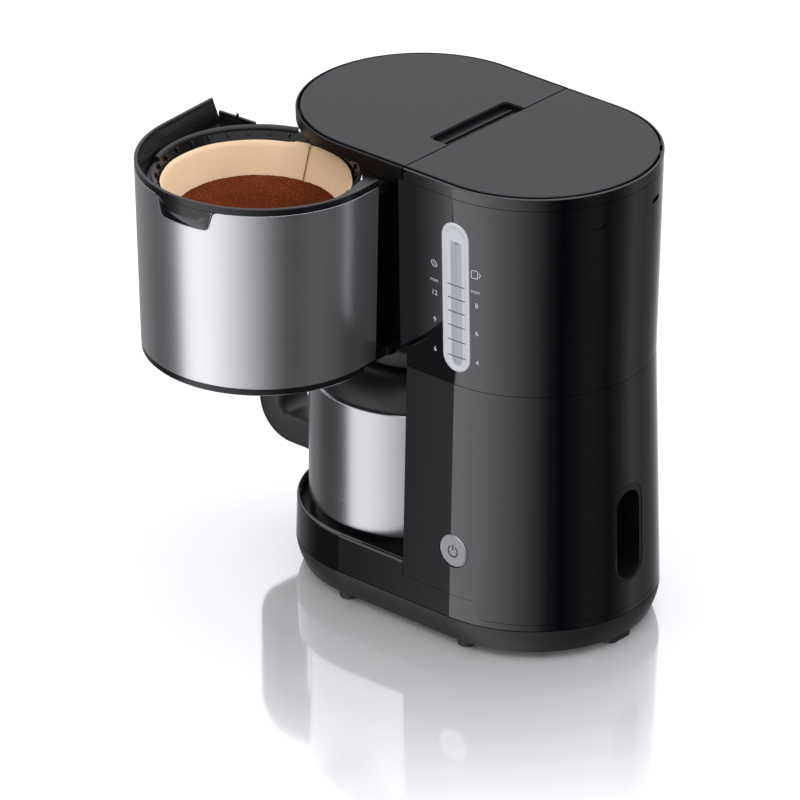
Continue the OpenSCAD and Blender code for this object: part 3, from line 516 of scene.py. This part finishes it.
def add_badge():
    sections = [(0.5, 0.1), (0.5, 0.42), (0.75, 0.55), (6, 0.55)]
    rings = []
    for inset, out in sections:
        ring = tab_outline(min(inset, 1))
        if inset > 1:
            mid_z = (TAB_LOW + LIP_BAND) / 2
            ring = [(y * 0.72, mid_z + (z - mid_z) * 0.2) for y, z in tab_outline(1)]
        rings.append([basket_end(y, z, out) for y, z in ring])
    piece("badge_panel", skin("badge_panel", rings), "basket", "gloss_black")
    # silver strip round the tab's outline: painted highlight standing in for light on the tab's bevelled edge
    edge = stroke("badge_edge_highlight", tab_outline(0.1), 0.5, basket_end, (0.15, 0.5))
    piece("badge_edge_highlight", edge, "basket", "satin_silver")


# ---- Filter paper and coffee ----

SEAM_AT = 97.5  # azimuth of the paper's glued edge, in the open basket
LAP = 14.0  # degrees that the sheet's end overlaps its start
SHEET = 0.35  # thickness of the paper


def paper_point(turn, z, inside):
    """Point of the paper wall. The sheet makes a full turn and a bit, so its end lies on its own start."""
    a = math.radians(SEAM_AT + LAP - turn)
    over = max(0.0, (turn - 360 + 30) / 30)
    lift = 0.75 * min(1.0, over) ** 2 * (3 - 2 * min(1.0, over))
    wave = 0.28 * math.sin(5 * a + 0.6) + 0.18 * math.sin(11 * a + 2) * (z - CONE_LOW) / 100
    r = cone_r(z) - 1.9 - inside - lift + wave
    return Vector((CONE_OPEN.x + r * math.cos(a), CONE_OPEN.y + r * math.sin(a), z))


def add_paper():
    low = CONE_LOW + 5
    turns = [i * 2 for i in range(int((360 + LAP) / 2) + 1)]
    levels = 26

    def top(turn):
        flap = 1.0 if turn > 362 else 0.0
        return PAPER_TOP + 0.3 * math.sin(math.radians(3 * turn)) + flap

    rings = []
    for turn in turns:
        heights = [low + (top(turn) - low) * k / levels for k in range(levels + 1)]
        inner = [paper_point(turn, z, SHEET) for z in heights]
        outer = [paper_point(turn, z, 0.0) for z in reversed(heights)]
        rings.append(inner + outer)
    wall = skin("paper_wall", rings)
    floor_r = cone_r(low) - 2.2
    base = [[Vector((CONE_OPEN.x + r * math.cos(a), CONE_OPEN.y + r * math.sin(a), z))
             for a in (2 * math.pi * i / 48 for i in range(48))]
            for r, z in ((0.5, low), (floor_r, low), (floor_r, low + 0.4), (0.5, low + 0.4))]
    piece("paper_filter", joined("paper_filter", [wall, skin("paper_base", base)]), "basket", "filter_paper",
          replaces=["filter_paper"])
    # dark strip along the sheet's glued edge: painted shadow of the overlapping end
    end = turns[-1]
    seam_low = 262.0
    line = []
    for k in range(levels + 1):
        z = seam_low + (top(end) - 1.5 - seam_low) * k / levels
        p = paper_point(end, z, SHEET + 0.01)
        q = paper_point(end - 0.45, z, SHEET + 0.05)
        inward = (Vector((CONE_OPEN.x, CONE_OPEN.y, z)) - p).normalized() * 0.12
        line.append([p, p + inward, q + inward, q])
    piece("paper_seam_shadow", skin("paper_seam_shadow", line), "basket", "filter_paper", "paper_shadow")


def add_ribs():
    """Upright ribs of the holder that show between the paper's edge and the rounded collar."""
    count = 30
    parts = []
    for i in range(count):
        a = math.radians(360 / count * i + 5)
        out = Vector((math.cos(a), math.sin(a), 0))
        side = Vector((-math.sin(a), math.cos(a), 0)) * 0.65
        rings = []
        for z, proud in ((313.4, 0.6), (313.8, 1.6), (315.2, 1.9), (316.4, 1.8), (316.9, 1.0)):
            wall = Vector((CONE_OPEN.x, CONE_OPEN.y, z)) + out * (cone_r(z) - 0.1)
            rings.append([wall + side, wall - side, wall - side * 0.7 - out * proud, wall + side * 0.7 - out * proud])
        parts.append(skin("rib", rings))
    piece("holder_ribs", joined("holder_ribs", parts), "basket", "satin_black", smooth=False)


def add_coffee():
    low, waist = CONE_LOW + 5.6, 260.0
    sectors, steps = 260, 74
    edge = cone_r(COFFEE_Z) - 2.9

    def heap(r, a):
        x, y = r * math.cos(a), r * math.sin(a)
        share = r / edge
        crown = 7.0 * (1 - share ** 1.3)
        lumps = noise.noise(Vector((x, y, 3.0)) * 0.09) * 0.9 * (1 - share * 0.6)
        grain = noise.noise(Vector((x, y, 9.0)) * 1.3) * 0.34 + noise.noise(Vector((x, y, 1.0)) * 0.55) * 0.3
        return Vector((CONE_OPEN.x + x, CONE_OPEN.y + y, COFFEE_Z + crown + lumps + grain))

    angles = [2 * math.pi * i / sectors for i in range(sectors)]
    rings = [[heap(edge * (1 - k / steps) + 0.3, a) for a in angles] for k in range(steps + 1)]
    foot = [[Vector((CONE_OPEN.x + r * math.cos(a), CONE_OPEN.y + r * math.sin(a), z)) for a in angles]
            for r, z in ((cone_r(low) - 3, low), (cone_r(waist) - 3.1, waist))]
    piece("coffee_heap", skin("coffee_heap", foot + rings), "basket", "ground_coffee", replaces=["coffee_grounds"])
    random.seed(7)
    loose_grains = 2600
    grains = bmesh.new()
    for _ in range(loose_grains):
        r, a = edge * math.sqrt(random.random()) * 0.97, random.uniform(0, 2 * math.pi)
        size = random.uniform(0.14, 0.34)
        made = bmesh.ops.create_icosphere(grains, subdivisions=1, radius=size)
        spot = heap(r, a)
        squash = Vector((random.uniform(0.7, 1.3), random.uniform(0.7, 1.3), random.uniform(0.5, 0.9)))
        for v in made["verts"]:
            v.co = Vector((v.co.x * squash.x, v.co.y * squash.y, v.co.z * squash.z)) + spot
    mesh = bpy.data.meshes.new("coffee_grains")
    grains.to_mesh(mesh)
    grains.free()
    piece("coffee_grains", mesh, "basket", "ground_coffee", "coffee_light", smooth=False)


# ---- Carafe handle ----


def add_handle():
    """The D grip as one swept bar with rounded corners."""
    reach, outer_r, depth, high, low = -187.0, 29.0, 22.0, 176.0, 56.0
    half = depth / 2
    mid_r = outer_r - half
    cx = reach + outer_r
    shoulder_x, barrel_x = -103.6, -124.6

    def bend(z, start):
        """Quarter turn of the grip's middle line, as (x, z, and the outward direction)."""
        turns = [start + 90 * i / 14 for i in range(15)]
        return [(*point, math.cos(math.radians(a)), math.sin(math.radians(a)))
                for a, point in zip(turns, arc(cx, z, mid_r, start, start + 90, 14))]

    path = [(shoulder_x + (cx - shoulder_x) * i / 10, high - half, 0.0, 1.0) for i in range(10)]
    path += bend(high - outer_r, 90)
    path += [(cx - mid_r, high - outer_r - (high - low - 2 * outer_r) * i / 8, -1.0, 0.0) for i in range(1, 8)]
    path += bend(low + outer_r, 180)
    path += [(cx + (barrel_x - cx) * i / 8, low + half, 0.0, -1.0) for i in range(1, 9)]
    width = 15.0
    corner_out, corner_in = 5.5, 4.5
    section = (arc(half - corner_out, width - corner_out, corner_out, 0, 90, 7)
               + arc(-half + corner_in, width - corner_in, corner_in, 90, 180, 6)
               + arc(-half + corner_in, -width + corner_in, corner_in, 180, 270, 6)
               + arc(half - corner_out, -width + corner_out, corner_out, 270, 360, 7))
    rings = [[Vector((x + nx * d, y, z + nz * d)) for d, y in section] for x, z, nx, nz in path]
    piece("handle_grip", skin("handle_grip", rings), "carafe", "matte_black", replaces=["carafe_handle"])


add_gauge()
add_labels()
add_power_icon()
add_badge()
add_paper()
add_ribs()
add_coffee()
add_handle()
